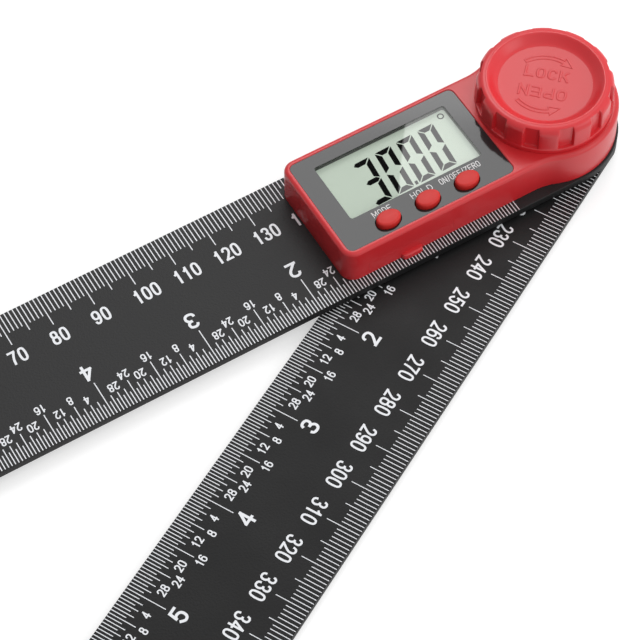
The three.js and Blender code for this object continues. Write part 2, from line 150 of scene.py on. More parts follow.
# Arms: two flat strips of glass-filled nylon, moulded black with a very fine grain. Each has a
# round end about the pivot, a square tip, and edges that are only just broken. They turn on a
# hub, the upper arm round it and the lower arm fixed to it.
def skin_group():
    group = bpy.data.node_groups.new("moulded_skin", "ShaderNodeTree")
    socket = group.interface.new_socket
    socket("Place", in_out="INPUT", socket_type="NodeSocketVector")
    socket("Base", in_out="INPUT", socket_type="NodeSocketColor")
    for name in ("Mottle", "Rough", "Rough Spread", "Grain Size"):
        socket(name, in_out="INPUT", socket_type="NodeSocketFloat")
    socket("Color", in_out="OUTPUT", socket_type="NodeSocketColor")
    socket("Roughness", in_out="OUTPUT", socket_type="NodeSocketFloat")
    socket("Height", in_out="OUTPUT", socket_type="NodeSocketFloat")
    given = add_node(group, "NodeGroupInput")
    made = add_node(group, "NodeGroupOutput")
    link = group.links.new
    scale = add_node(group, "ShaderNodeMath", operation="DIVIDE")
    scale.inputs[0].default_value = 1
    link(given.outputs["Grain Size"], scale.inputs[1])
    grain = add_node(group, "ShaderNodeTexNoise", Detail=2.0)
    link(given.outputs["Place"], grain.inputs["Vector"])
    link(scale.outputs[0], grain.inputs["Scale"])
    link(grain.outputs["Fac"], made.inputs["Height"])
    cloud = add_node(group, "ShaderNodeTexNoise", Scale=90.0, Detail=3.0)
    link(given.outputs["Place"], cloud.inputs["Vector"])
    centred = add_node(group, "ShaderNodeMath", operation="SUBTRACT")
    centred.inputs[1].default_value = 0.5
    link(cloud.outputs["Fac"], centred.inputs[0])
    spread = add_node(group, "ShaderNodeMath", operation="MULTIPLY_ADD")
    link(centred.outputs[0], spread.inputs[0])
    link(given.outputs["Rough Spread"], spread.inputs[1])
    link(given.outputs["Rough"], spread.inputs[2])
    link(spread.outputs[0], made.inputs["Roughness"])
    tone = add_node(group, "ShaderNodeMath", operation="MULTIPLY_ADD")
    tone.inputs[2].default_value = 1
    link(centred.outputs[0], tone.inputs[0])
    link(given.outputs["Mottle"], tone.inputs[1])
    shade = add_node(group, "ShaderNodeVectorMath", operation="SCALE")
    link(given.outputs["Base"], shade.inputs[0])
    link(tone.outputs[0], shade.inputs["Scale"])
    link(shade.outputs[0], made.inputs["Color"])
    return group


moulded_skin = skin_group()


def moulded(name, base, rough, grain, bump, mottle=0.12, spread=0.12, **settings):
    material = bpy.data.materials.new(name)
    tree = new_tree(material)
    place = add_node(tree, "ShaderNodeTexCoord")
    skin = add_node(tree, "ShaderNodeGroup")
    skin.node_tree = moulded_skin
    skin.inputs["Base"].default_value = (*base, 1)
    skin.inputs["Mottle"].default_value = mottle
    skin.inputs["Rough"].default_value = rough
    skin.inputs["Rough Spread"].default_value = spread
    skin.inputs["Grain Size"].default_value = grain
    surface = add_node(tree, "ShaderNodeBsdfPrincipled", **settings)
    relief = add_node(tree, "ShaderNodeBump", Strength=bump, Distance=0.0001)
    out = add_node(tree, "ShaderNodeOutputMaterial")
    link = tree.links.new
    link(place.outputs["Object"], skin.inputs["Place"])
    link(skin.outputs["Color"], surface.inputs["Base Color"])
    link(skin.outputs["Roughness"], surface.inputs["Roughness"])
    link(skin.outputs["Height"], relief.inputs["Height"])
    link(relief.outputs["Normal"], surface.inputs["Normal"])
    link(surface.outputs[0], out.inputs["Surface"])
    return material


def black_nylon(name, base):
    material = moulded(name, base, 0.52, 0.0005, 0.6, mottle=0.7, spread=0.2)
    material.node_tree.nodes["Principled BSDF"].inputs["Specular IOR Level"].default_value = 0.24
    return material


upper_nylon = black_nylon("upper_nylon", (0.022, 0.022, 0.0225))
# Painted shade: a darker copy of the upper arm's own nylon, standing in for the shade its side
# faces fall into.
side_nylon_painted_shade = black_nylon("side_nylon_painted_shade", (0.012, 0.012, 0.0124))
lower_nylon = black_nylon("lower_nylon", (0.0065, 0.0065, 0.0068))


def arc(x, y, radius, start, stop, steps):
    angles = [math.radians(start + (stop - start) * i / steps) for i in range(steps + 1)]
    return [(x + radius * math.cos(a), y + radius * math.sin(a)) for a in angles]


# A stack of levels, each an inset and a height, with both edges rounded off.
def rounded_levels(low, high, low_edge, high_edge, draft=0, steps=5, rest=0.12):
    levels = [(low_edge + rest, low)]
    for i in range(steps + 1):
        a = math.pi / 2 * i / steps
        levels.append((low_edge * (1 - math.sin(a)), low + low_edge * (1 - math.cos(a))))
    for i in range(steps + 1):
        a = math.pi / 2 * i / steps
        inset = draft + high_edge * (1 - math.cos(a))
        levels.append((inset, high - high_edge * (1 - math.sin(a))))
    levels.append((draft + high_edge + rest, high))
    return levels


def vertex(shape, x, y, z):
    return shape.verts.new((x / 1000, y / 1000, z / 1000))


# The band of faces between two rings of vertices.
def band(shape, low, high):
    for i in range(len(low)):
        j = (i + 1) % len(low)
        shape.faces.new((low[i], low[j], high[j], high[i]))


# Outlines, each a function from an inset to its points, carried through the levels and closed.
def plate(name, outlines, levels):
    shape = bmesh.new()
    caps = [[], []]
    for outline in outlines:
        rings = [[vertex(shape, x, y, z) for x, y in outline(inset)] for inset, z in levels]
        for low, high in zip(rings, rings[1:]):
            band(shape, low, high)
        for cap, ring in zip(caps, (rings[0], rings[-1])):
            for i in range(len(ring)):
                cap.append(shape.edges.get((ring[i], ring[(i + 1) % len(ring)])))
    for cap in caps:
        bmesh.ops.triangle_fill(shape, edges=cap, use_beauty=True)
    bmesh.ops.recalc_face_normals(shape, faces=shape.faces)
    return piece(name, shape)


crease_angle = 32


def mesh_of(name, shape):
    mesh = bpy.data.meshes.new(name)
    shape.to_mesh(mesh)
    shape.free()
    return mesh


def piece(name, shape, sharp=crease_angle):
    mesh = mesh_of(name, shape)
    mesh.shade_smooth()
    mesh.set_sharp_from_angle(angle=math.radians(sharp))
    made = bpy.data.objects.new(name, mesh)
    bpy.context.collection.objects.link(made)
    return made


def dress(made, material, body, slot, *nodes):
    made.data.materials.clear()
    made.data.materials.append(material)
    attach(made, body)
    if nodes:
        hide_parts(*nodes)


def circle(radius, x=0, y=0, sides=48):
    return lambda inset: arc(x, y, radius + inset, 0, 360 - 360 / sides, sides - 1)


arm_half, arm_reach, tip_corner = 17.5, 200.5, 1.6
upper_base, upper_top, lower_top = 2.4, 4.4, 2
broken_edge, lower_soft_edge = 0.18, 0.45
lower_trim = 0.42
hub_bore, bolt_bore, case_screw_bore, hub_screw_bore = 9.6, 5.1, 1.6, 1.7
screw_circle = 7.3
arm_angle = 28.33


def arm_outline(inset, trim=0.0):
    half, reach, corner = arm_half - inset, arm_reach - inset, tip_corner - inset
    edge = half - trim
    meet = math.degrees(math.asin(edge / half))
    return [
        *arc(0, 0, half, -meet, 90, 64),
        *arc(corner - reach, half - corner, corner, 90, 180, 6),
        *arc(corner - reach, corner - edge, corner, 180, 270, 6),
    ]


# The lower arm's millimetre edge lies a little further in.
def trimmed_outline(inset):
    return arm_outline(inset, lower_trim)


case_screws = [(x, y) for x in (-56.9, -19) for y in (-11.7, 11.7)]
hub_screws = [
    (screw_circle * math.cos(a), screw_circle * math.sin(a))
    for a in (0, math.tau / 3, -math.tau / 3)
]
swing = Matrix.Rotation(math.radians(arm_angle - 180), 4, "Z")
flip = Matrix.Rotation(math.pi, 4, "Z")

upper_holes = [circle(case_screw_bore, x, y, 32) for x, y in case_screws]
upper_arm = plate(
    "upper_strip",
    [arm_outline, circle(hub_bore), *upper_holes],
    rounded_levels(upper_base, upper_top, broken_edge, broken_edge),
)
dress(upper_arm, upper_nylon, "head", "composite", "upper_arm")
# Painted shade: the upper arm's upright faces take the darker copy of its nylon.
upper_arm.data.materials.append(side_nylon_painted_shade)
for face in upper_arm.data.polygons:
    if abs(face.normal.z) < 0.5:
        face.material_index = 1

lower_holes = [circle(hub_screw_bore, -x, -y, 32) for x, y in hub_screws]
lower_arm = plate(
    "lower_strip",
    [trimmed_outline, circle(bolt_bore), *lower_holes],
    rounded_levels(0, lower_top, lower_soft_edge, broken_edge),
)
lower_arm.data.transform(swing @ flip)
dress(lower_arm, lower_nylon, "arm", "composite", "lower_arm")


# Scales: white ink, printed along both edges of each arm. Millimetres run along one edge, and
# inches in thirty-seconds along the other, each row of marks grown by Geometry Nodes.
def marks_tree(material):
    tree = bpy.data.node_groups.new("scale_marks", "GeometryNodeTree")
    socket = tree.interface.new_socket
    socket("Geometry", in_out="INPUT", socket_type="NodeSocketGeometry")
    socket("Count", in_out="INPUT", socket_type="NodeSocketInt")
    for name in ("Pitch", "Line", "Ink", "Shortest"):
        socket(name, in_out="INPUT", socket_type="NodeSocketFloat")
    for i in range(4):
        socket(f"Every {i + 1}", in_out="INPUT", socket_type="NodeSocketInt")
        socket(f"Reach {i + 1}", in_out="INPUT", socket_type="NodeSocketFloat")
    socket("Geometry", in_out="OUTPUT", socket_type="NodeSocketGeometry")
    link = tree.links.new
    given = add_node(tree, "NodeGroupInput")
    step = add_node(tree, "ShaderNodeCombineXYZ")
    link(given.outputs["Pitch"], step.inputs["X"])
    row = add_node(tree, "GeometryNodeMeshLine")
    link(given.outputs["Count"], row.inputs["Count"])
    link(step.outputs[0], row.inputs["Offset"])
    index = add_node(tree, "GeometryNodeInputIndex")
    reach = given.outputs["Shortest"]
    for i in range(4):
        rest = add_node(tree, "ShaderNodeMath", operation="FLOORED_MODULO")
        link(index.outputs[0], rest.inputs[0])
        link(given.outputs[f"Every {i + 1}"], rest.inputs[1])
        other = add_node(tree, "ShaderNodeMath", operation="GREATER_THAN")
        other.inputs[1].default_value = 0.5
        link(rest.outputs[0], other.inputs[0])
        pick = add_node(tree, "GeometryNodeSwitch", input_type="FLOAT")
        link(other.outputs[0], pick.inputs["Switch"])
        link(given.outputs[f"Reach {i + 1}"], pick.inputs["False"])
        link(reach, pick.inputs["True"])
        reach = pick.outputs[0]
    middle = add_node(tree, "ShaderNodeMath", operation="MULTIPLY")
    middle.inputs[1].default_value = -0.5
    link(reach, middle.inputs[0])
    aside = add_node(tree, "ShaderNodeCombineXYZ")
    link(middle.outputs[0], aside.inputs["Y"])
    moved = add_node(tree, "GeometryNodeSetPosition")
    link(row.outputs[0], moved.inputs["Geometry"])
    link(aside.outputs[0], moved.inputs["Offset"])
    size = add_node(tree, "ShaderNodeCombineXYZ")
    link(given.outputs["Line"], size.inputs["X"])
    link(reach, size.inputs["Y"])
    link(given.outputs["Ink"], size.inputs["Z"])
    bar = add_node(tree, "GeometryNodeMeshCube")
    bars = add_node(tree, "GeometryNodeInstanceOnPoints")
    link(moved.outputs[0], bars.inputs["Points"])
    link(bar.outputs[0], bars.inputs["Instance"])
    link(size.outputs[0], bars.inputs["Scale"])
    real = add_node(tree, "GeometryNodeRealizeInstances")
    link(bars.outputs[0], real.inputs[0])
    inked = add_node(tree, "GeometryNodeSetMaterial")
    inked.inputs["Material"].default_value = material
    link(real.outputs[0], inked.inputs[0])
    out = add_node(tree, "NodeGroupOutput")
    link(inked.outputs[0], out.inputs["Geometry"])
    return tree


# A tree's result as a plain mesh, with the tree's inputs given by name. The tree grows on the
# seed's points, or on nothing.
def grown(name, tree, seed=None, **values):
    holder = bpy.data.objects.new(name, seed or bpy.data.meshes.new(name))
    bpy.context.collection.objects.link(holder)
    modifier = holder.modifiers.new(name, "NODES")
    modifier.node_group = tree
    for item in tree.interface.items_tree:
        if item.in_out == "INPUT" and item.name in values:
            modifier[item.identifier] = values[item.name]
    depsgraph = bpy.context.evaluated_depsgraph_get()
    mesh = bpy.data.meshes.new_from_object(holder.evaluated_get(depsgraph))
    bpy.data.objects.remove(holder)
    mesh.name = name
    return mesh


white_ink = moulded("white_ink", (0.8, 0.815, 0.845), 0.5, 0.0002, 0.1, mottle=0.08)
marks = marks_tree(white_ink)
ink = 0.02
inch = 25.4
inch_count, inch_start = 229, 17.3
print_edge, trimmed_edge = 17.4, 17.02


def row_of_marks(count, pitch, line, shortest, *longer):
    reaches = list(longer) + [longer[-1]] * (4 - len(longer))
    values = {f"Every {i + 1}": every for i, (every, reach) in enumerate(reaches)}
    values |= {f"Reach {i + 1}": reach / 1000 for i, (every, reach) in enumerate(reaches)}
    return grown(
        "marks",
        marks,
        Count=count,
        Pitch=pitch / 1000,
        Line=line / 1000,
        Ink=ink / 1000,
        Shortest=shortest / 1000,
        **values,
    )


def inch_marks(line, more=0.0):
    longer = [(2, 4.5), (8, 6.0), (16, 7.55), (32, 9.05)]
    longer = [(every, reach + more) for every, reach in longer]
    return row_of_marks(inch_count, inch / 32, line, 3.2 + more, *longer)


# Figures and capitals as the strokes of a pen in a unit square. A stroke of two points is
# straight, and one of more is drawn as a smooth curve through them.
round_form = [(0.5, 1), (0.88, 0.9), (1, 0.5), (0.88, 0.1), (0.5, 0), (0.12, 0.1), (0, 0.5)]
round_form = [*round_form, (0.12, 0.9), (0.5, 1)]
bowl = [(0, 1), (0.6, 1), (0.93, 0.94), (1, 0.76), (0.93, 0.58), (0.6, 0.51), (0, 0.51)]
six = [(0.94, 0.8), (0.8, 0.96), (0.5, 1), (0.14, 0.88), (0, 0.47), (0.1, 0.1), (0.5, 0)]
six = [*six, (0.9, 0.1), (1, 0.32), (0.88, 0.55), (0.5, 0.63)]
six_end = [(0.53, 0.63), (0.2, 0.57), (0.02, 0.4)]
two = [(0.02, 0.72), (0.13, 0.93), (0.5, 1), (0.88, 0.91)]
three = [(0.03, 0.78), (0.16, 0.95), (0.5, 1), (0.86, 0.92)]
open_form = [(0.97, 0.76), (0.8, 0.95), (0.5, 1), (0.12, 0.88), (0, 0.5)]
open_form = [*open_form, (0.12, 0.12), (0.5, 0), (0.8, 0.05), (0.97, 0.24)]
belly = [(0, 1), (0.45, 1), (0.88, 0.86), (1, 0.5), (0.88, 0.14), (0.45, 0), (0, 0)]
pen = {
    "0": [round_form],
    "1": [[(0.62, 1), (0.62, 0)], [(0.62, 0.98), (0.42, 0.82), (0.12, 0.72)]],
    "2": [[*two, (0.97, 0.7), (0.8, 0.47), (0.1, 0.03)], [(0.03, 0), (1, 0)]],
    "3": [
        [*three, (0.92, 0.7), (0.74, 0.56), (0.4, 0.53)],
        [(0.4, 0.53), (0.78, 0.49), (1, 0.28), (0.87, 0.06), (0.5, 0), (0.13, 0.07), (0, 0.27)],
    ],
    "4": [[(0.74, 0), (0.74, 1)], [(0.7, 0.98), (0.02, 0.31)], [(0, 0.28), (1, 0.28)]],
    "5": [
        [(0.2, 1), (0.92, 1)],
        [(0.19, 0.98), (0.08, 0.5)],
        [(0.06, 0.52), (0.45, 0.63), (0.87, 0.54), (1, 0.31), (0.86, 0.06), (0.45, 0), (0, 0.24)],
    ],
    "6": [six, six_end],
    "7": [[(0, 1), (0.98, 1)], [(0.96, 0.98), (0.62, 0.62), (0.42, 0.3), (0.35, -0.06)]],
    "8": [
        [(x * 0.84 + 0.08, y * 0.47 + 0.53) for x, y in round_form],
        [(x, y * 0.53) for x, y in round_form],
    ],
    "9": [[(1 - x, 1 - y) for x, y in stroke] for stroke in (six, six_end)],
    "C": [open_form],
    "D": [[(0, 0), (0, 1)], belly],
    "E": [[(0, 0), (0, 1)], [(0, 1), (1, 1)], [(0, 0.52), (0.9, 0.52)], [(0, 0), (1, 0)]],
    "F": [[(0, 0), (0, 1)], [(0, 1), (1, 1)], [(0, 0.52), (0.85, 0.52)]],
    "H": [[(0, 0), (0, 1)], [(1, 0), (1, 1)], [(0, 0.52), (1, 0.52)]],
    "K": [[(0, 0), (0, 1)], [(0.95, 1), (0.05, 0.4)], [(0.36, 0.6), (1, 0)]],
    "L": [[(0, 0), (0, 1)], [(0, 0), (1, 0)]],
    "M": [[(0, 0), (0, 1)], [(0, 1), (0.5, 0.2)], [(0.5, 0.2), (1, 1)], [(1, 1), (1, 0)]],
    "N": [[(0, 0), (0, 1)], [(0, 1), (1, 0)], [(1, 0), (1, 1)]],
    "O": [round_form],
    "P": [[(0, 0), (0, 1)], bowl],
    "R": [[(0, 0), (0, 1)], bowl, [(0.5, 0.5), (1, 0)]],
    "Z": [[(0, 1), (1, 1)], [(0.98, 0.98), (0.02, 0.02)], [(0, 0), (1, 0)]],
    "/": [[(0.1, -0.05), (0.9, 1.05)]],
}


def smooth_path(points, steps=3):
    if len(points) == 2:
        return list(points)
    closed = points[0] == points[-1]
    ends = (points[-2], points[1]) if closed else (points[0], points[-1])
    padded = [ends[0], *points, ends[1]]
    path = []
    for a, b, c, d in zip(padded, padded[1:], padded[2:], padded[3:]):
        for i in range(steps):
            t = i / steps
            path.append(
                tuple(
                    b[k]
                    + 0.5 * t * (c[k] - a[k])
                    + t * t * (a[k] - 2.5 * b[k] + 2 * c[k] - 0.5 * d[k])
                    + t**3 * (1.5 * (b[k] - c[k]) + 0.5 * (d[k] - a[k]))
                    for k in (0, 1)
                )
            )
    return path if closed else [*path, points[-1]]


# A raised line along a path: flat on top, with sides that may slope, and closed all round.
def raised_line(shape, path, width, low, high, closed=False, slope=0.0):
    count = len(path)
    half = width / 2
    sections = []
    for i, (x, y) in enumerate(path):
        before = path[i - 1] if i or closed else path[i]
        after = path[(i + 1) % count] if i + 1 < count or closed else path[i]
        a, b = Vector(before), Vector(after)
        if i and i + 1 < count or closed:
            here = Vector((x, y))
            along = (here - a).normalized() + (b - here).normalized()
        else:
            along = b - a
        along = along.normalized()
        side = Vector((-along.y, along.x))
        ends = ((half, low), (-half, low), (slope - half, high), (half - slope, high))
        section = [vertex(shape, x + side.x * out, y + side.y * out, z) for out, z in ends]
        sections.append(section)
    pairs = list(zip(sections, sections[1:]))
    if closed:
        pairs.append((sections[-1], sections[0]))
    for a, b in pairs:
        for k in range(4):
            shape.faces.new((a[k], b[k], b[(k + 1) % 4], a[(k + 1) % 4]))
    if not closed:
        shape.faces.new(sections[0])
        shape.faces.new(sections[-1][::-1])


stroke_step = 0.003


# Words are a text, the place of its middle, its height, the width of one sign, the gap between
# two, the width of the pen's line and the turn of the whole in degrees. Each further stroke of a
# sign lies a little higher than the last, so that no two tops share a plane.
def lettering(name, words, low, high, slope=0.0):
    shape = bmesh.new()
    for text, x, y, height, width, gap, line, angle in words:
        wide = [width * {"M": 1.25, "/": 0.6}.get(sign, 1) for sign in text]
        start = -(sum(wide) + gap * (len(text) - 1)) / 2
        turn = Matrix.Rotation(math.radians(angle), 2)
        for sign, sign_width in zip(text, wide):
            for layer, stroke in enumerate(pen[sign]):
                closed = stroke[0] == stroke[-1]
                left, foot = start + line / 2, -height / 2 + line / 2
                path = [
                    Vector((left + u * (sign_width - line), foot + v * (height - line)))
                    for u, v in smooth_path(stroke)
                ]
                if len(path) == 2:
                    over = (path[1] - path[0]).normalized() * line / 2
                    path = [path[0] - over, path[1] + over]
                placed = [tuple(turn @ point + Vector((x, y))) for point in path]
                raised_line(shape, placed, line, low, high + stroke_step * layer, closed, slope)
            start += sign_width + gap
    bmesh.ops.recalc_face_normals(shape, faces=shape.faces)
    return mesh_of(name, shape)


def joined(name, parts):
    whole = bmesh.new()
    for mesh, place in parts:
        mesh.transform(place)
        whole.from_mesh(mesh)
        bpy.data.meshes.remove(mesh)
    return piece(name, whole)


# Figures by height, width, gap, line and turn. Those on the lower arm's millimetre edge have a
# thinner line.
inch_figure = (4.05, 2.7, 0.3, 0.62, 180)
part_figure = (2.05, 1.16, 0.15, 0.3, 180)
number_height, number_width, number_gap = 3.65, 1.86, 0.32
upper_pen, lower_pen = 0.53, 0.47


def inch_words(first, sign, figure_y, rows):
    words = []
    for i in range(first, inch_count):
        x = sign * (i * inch / 32 + inch_start)
        if i % 32 == 0:
            words.append((str(i // 32), x - 0.15, figure_y, *inch_figure))
        elif i % 4 == 0:
            row = {16: 2, 8: 1, 24: 1}.get(i % 32, 0)
            words.append((str(i % 32), x - 0.1, rows[row], *part_figure))
    return words


def number_words(first, last, zero, y, lean, line):
    words = []
    for i in range(first, last, 10):
        x = i - zero - 0.15 + lean * (len(str(i)) - 2)
        words.append((str(i), x, y, number_height, number_width, number_gap, line, 0))
    return words


def row_at(x, y, turned=flip):
    return Matrix.Translation((x / 1000, y / 1000, ink / 2000)) @ turned


straight_on = Matrix.Identity(4)
turned_over = Matrix.Rotation(math.pi, 4, "X")
over_upper = Matrix.Translation((0, 0, upper_top / 1000))
over_lower = swing @ Matrix.Translation((0, 0, lower_top / 1000))

# The upper arm's millimetres start at its tip. Beside the head, which leaves them little room,
# the marks are short.
upper_zero, short_from, short_count = 199.5, 140, 47
upper_number_y = 5.98
upper_words = number_words(10, short_from, upper_zero, upper_number_y, 1.15, upper_pen)
upper_words += [("1", -61.0, upper_number_y, number_height, number_width, 0, upper_pen, 0)]
upper_words += inch_words(56, -1, -5.4, (-11.35, -9.7, -8.3))
long_row = row_of_marks(short_from, 1, 0.22, 5.1, (5, 6.7), (10, 8.15))
short_row = row_of_marks(short_count, 1, 0.22, 2.3, (1, 2.3))
upper_print = joined(
    "upper_scales",
    [
        (long_row, over_upper @ row_at(-upper_zero, print_edge, straight_on)),
        (short_row, over_upper @ row_at(short_from - upper_zero, print_edge, straight_on)),
        (inch_marks(0.215), over_upper @ row_at(-inch_start, -print_edge)),
        (lettering("upper_words", upper_words, 0, ink), over_upper),
    ],
)
dress(upper_print, white_ink, "head", "composite")

# The lower arm's millimetres go on from the pivot.
lower_zero, lower_from, lower_count = 199.75, 200, 200
lower_words = number_words(220, 400, lower_zero, 6.2, 0, lower_pen)
lower_words += inch_words(4, 1, -4.95, (-10.65, -9.15, -7.7))
lower_row = row_of_marks(lower_count, 1, 0.175, 4.72, (5, 6.22), (10, 7.72))
lower_print = joined(
    "lower_scales",
    [
        (lower_row, over_lower @ row_at(lower_from - lower_zero, trimmed_edge, straight_on)),
        (inch_marks(0.185, 0.45), over_lower @ row_at(inch_start, -print_edge, turned_over)),
        (lettering("lower_words", lower_words, 0, ink), over_lower),
    ],
)
dress(lower_print, white_ink, "arm", "composite")


# Head shell: the red cover, one moulding of glossy ABS with soft edges. It stands on the upper
# arm, with a bed for the panel in its top and a slot for the battery tray in its front wall.
def red_plastic(name, base, rough, level):
    material = moulded(name, base, rough, 0.0004, 0.1, mottle=0.08)
    material.node_tree.nodes["Principled BSDF"].inputs["Specular IOR Level"].default_value = level
    return material


red_abs = red_plastic("red_abs", (0.62, 0.02, 0.026), 0.33, 0.56)


def cut(made, cutters, operation="DIFFERENCE"):
    for cutter in cutters:
        modifier = made.modifiers.new("cut", "BOOLEAN")
        modifier.operation = operation
        modifier.solver = "EXACT"
        modifier.object = cutter
    depsgraph = bpy.context.evaluated_depsgraph_get()
    mesh = bpy.data.meshes.new_from_object(made.evaluated_get(depsgraph))
    made.modifiers.clear()
    made.data = mesh
    for cutter in cutters:
        bpy.data.objects.remove(cutter)
    mesh.shade_smooth()
    mesh.set_sharp_from_angle(angle=math.radians(crease_angle))


head_half, head_end, head_left = 14.8, 17, -60.1
head_corner, head_neck = 3.2, 14
head_top, room_top, wall = 13.8, 11.8, 1.6
panel_base, panel_top = 12.6, 13.6


def head_outline(inset):
    half, end = head_half - inset, head_end - inset
    corner, neck = head_corner - inset, head_neck + inset
    left, neck_y = head_left + inset, half + neck
    neck_x = -math.sqrt((end + neck) ** 2 - neck_y**2)
    meet = math.degrees(math.atan2(neck_y, -neck_x))
    return [
        *arc(neck_x, -neck_y, neck, 90, meet, 12)[:-1],
        *arc(0, 0, end, meet - 180, 180 - meet, 72),
        *arc(neck_x, neck_y, neck, -meet, -90, 12)[1:],
        *arc(left + corner, half - corner, corner, 90, 180, 10),
        *arc(left + corner, corner - half, corner, 180, 270, 10),
    ]


def rounded_box(left, right, front, back, corner, steps=6):
    def outline(inset):
        r = corner - inset
        west, east, south, north = left + inset, right - inset, front + inset, back - inset
        return [
            *arc(east - r, south + r, r, -90, 0, steps),
            *arc(east - r, north - r, r, 0, 90, steps),
            *arc(west + r, north - r, r, 90, 180, steps),
            *arc(west + r, south + r, r, 180, 270, steps),
        ]

    return outline


def straight(low, high):
    return [(0, low), (0, high)]


button_xs, button_y = (-47.06, -37, -26.94), -10.3
button_half_x, button_half_y = 2.9, 2.05


def oval(x, grow=0.0, sides=64):
    def outline(inset):
        angles = [math.tau * i / sides for i in range(sides)]
        half_x, half_y = button_half_x + grow - inset, button_half_y + grow - inset
        return [(x + half_x * math.cos(a), button_y + half_y * math.sin(a)) for a in angles]

    return outline


head_levels = rounded_levels(upper_top, head_top, 0.15, 1.0, draft=0.1, steps=7)
shell = plate("red_cover", [head_outline], head_levels)
panel_outline = rounded_box(-58.6, -16.2, -13.35, 13.35, 1.5)
tray_slot = rounded_box(-54.58, -33.02, -20, 3.1, 0.2, 2)
glass_hole = rounded_box(-56, -18, -8.1, 12.3, 0.2, 2)
below, above = 3, 15
bed_fit, bed_flare = -0.01, -0.16
bed_levels = [(bed_fit, panel_base), (bed_fit, panel_top)]
bed_levels += [(bed_flare, head_top), (bed_flare, above)]
through_ceiling = straight(9, 13)
cut(
    shell,
    [
        plate("room", [head_outline], [(wall, below), (wall, room_top)]),
        plate("bed", [panel_outline], bed_levels),
        plate("washer_bed", [circle(8.1)], straight(13.3, above)),
        plate("bolt_hole", [circle(3.4)], straight(4, above)),
        plate("slot", [tray_slot], straight(below, 8.33)),
        plate("glass_hole", [glass_hole], through_ceiling),
        *[plate("key_hole", [oval(x, 0.25)], through_ceiling) for x in button_xs],
    ],
)
dress(shell, red_abs, "head", "red_plastic", "head_shell")


# Panel: a thin plate of dark glossy acrylic let into the cover, with an opening for the display
# and three oval ones for the buttons. The labels are printed on it in light grey.
panel_gloss = moulded(
    "panel_gloss", (0.016, 0.016, 0.0165), 0.08, 0.0006, 0.01, mottle=0.05, spread=0.02
)


def opening(outline):
    return lambda inset: outline(-inset)


window_outline = rounded_box(-53.8, -20.2, -5.9, 10.1, 0.6)
key_gap, panel_edge = 0.22, 0.03
panel = plate(
    "display_face",
    [panel_outline, opening(window_outline), *[opening(oval(x, key_gap)) for x in button_xs]],
    rounded_levels(panel_base, panel_top, panel_edge, panel_edge, steps=2, rest=panel_edge),
)
dress(panel, panel_gloss, "head", "panel", "display_panel")
pale_ink = moulded("pale_ink", (0.72, 0.72, 0.72), 0.4, 0.0003, 0.05, mottle=0.05)
panel_words = [
    ("MODE", -47.05, -7.5, 1.6, 0.93, 0.24, 0.17, 0),
    ("HOLD", -36.9, -7.5, 1.6, 1.12, 0.3, 0.18, 0),
    ("ON/OFF/ZERO", -27.1, -7.5, 1.6, 0.85, 0.17, 0.17, 0),
]
over_panel = Matrix.Translation((0, 0, panel_top / 1000))
words = joined("panel_words", [(lettering("words", panel_words, 0, ink), over_panel)])
dress(words, pale_ink, "head", "panel")


# Window: a clear acrylic lens let into the panel, with the faintest haze on its top. A hard lamp,
# linked to the lens alone, lights that haze over the display's right end.
clear_lens = bpy.data.materials.new("clear_lens")
lens_tree = new_tree(clear_lens)
lens_surface = add_node(lens_tree, "ShaderNodeBsdfPrincipled", Roughness=0.1, Alpha=0.002)
lens_surface.inputs["Base Color"].default_value = (0.8, 0.8, 0.8, 1)
lens_out = add_node(lens_tree, "ShaderNodeOutputMaterial")
lens_tree.links.new(lens_surface.outputs[0], lens_out.inputs["Surface"])
lens_base, lens_edge = 13.1, 0.01
lens = plate(
    "clear_window",
    [rounded_box(-53.79, -20.21, -5.89, 10.09, 0.6)],
    rounded_levels(lens_base, panel_top, lens_edge, lens_edge, steps=2, rest=lens_edge),
)
dress(lens, clear_lens, "head", "clear", "window_lens")
beam = bpy.data.lights.new("window_beam", "SPOT")
beam.energy = 940
beam.spot_size = math.radians(60)
beam.spot_blend = 0
beam.shadow_soft_size = 0
glare = bpy.data.objects.new("window_beam", beam)
glare.location = (0.197886, -0.16715, 0.5136)
bpy.context.collection.objects.link(glare)
receivers = bpy.data.collections.new("window_only")
receivers.objects.link(lens)
glare.light_linking.receiver_collection = receivers


# Display: liquid crystal glass with a pale grey-green ground, which glows a little as painted light
# to fill in the shade that the window's walls cast on it. The digits are four sloping figures of
# seven bars each, with a point and a degree ring.
lcd_ground_painted_glow = moulded(
    "lcd_ground_painted_glow", (0.29, 0.335, 0.282), 0.5, 0.0004, 0.02, mottle=0.03, spread=0.05
)
lcd_face = lcd_ground_painted_glow.node_tree.nodes["Principled BSDF"].inputs
lcd_face["Specular IOR Level"].default_value = 0.1
# Painted light: the ground glows though it is no lamp, lifting the shade near the window's walls.
lcd_face["Emission Color"].default_value = (0.48, 0.563, 0.475, 1)
lcd_face["Emission Strength"].default_value = 0.44
glass_base, glass_top, segment_top = 10.6, 11.93, 11.95
glass_outline = rounded_box(-54.85, -19.15, -6.95, 11.15, 0.15, 2)
glass = plate("display_cell", [glass_outline], straight(glass_base, glass_top))
dress(glass, lcd_ground_painted_glow, "head", "lcd", "display_glass")
black_segment = moulded("black_segment", (0.002, 0.002, 0.002), 0.5, 0.0003, 0.02)
black_segment.node_tree.nodes["Principled BSDF"].inputs["Specular IOR Level"].default_value = 0


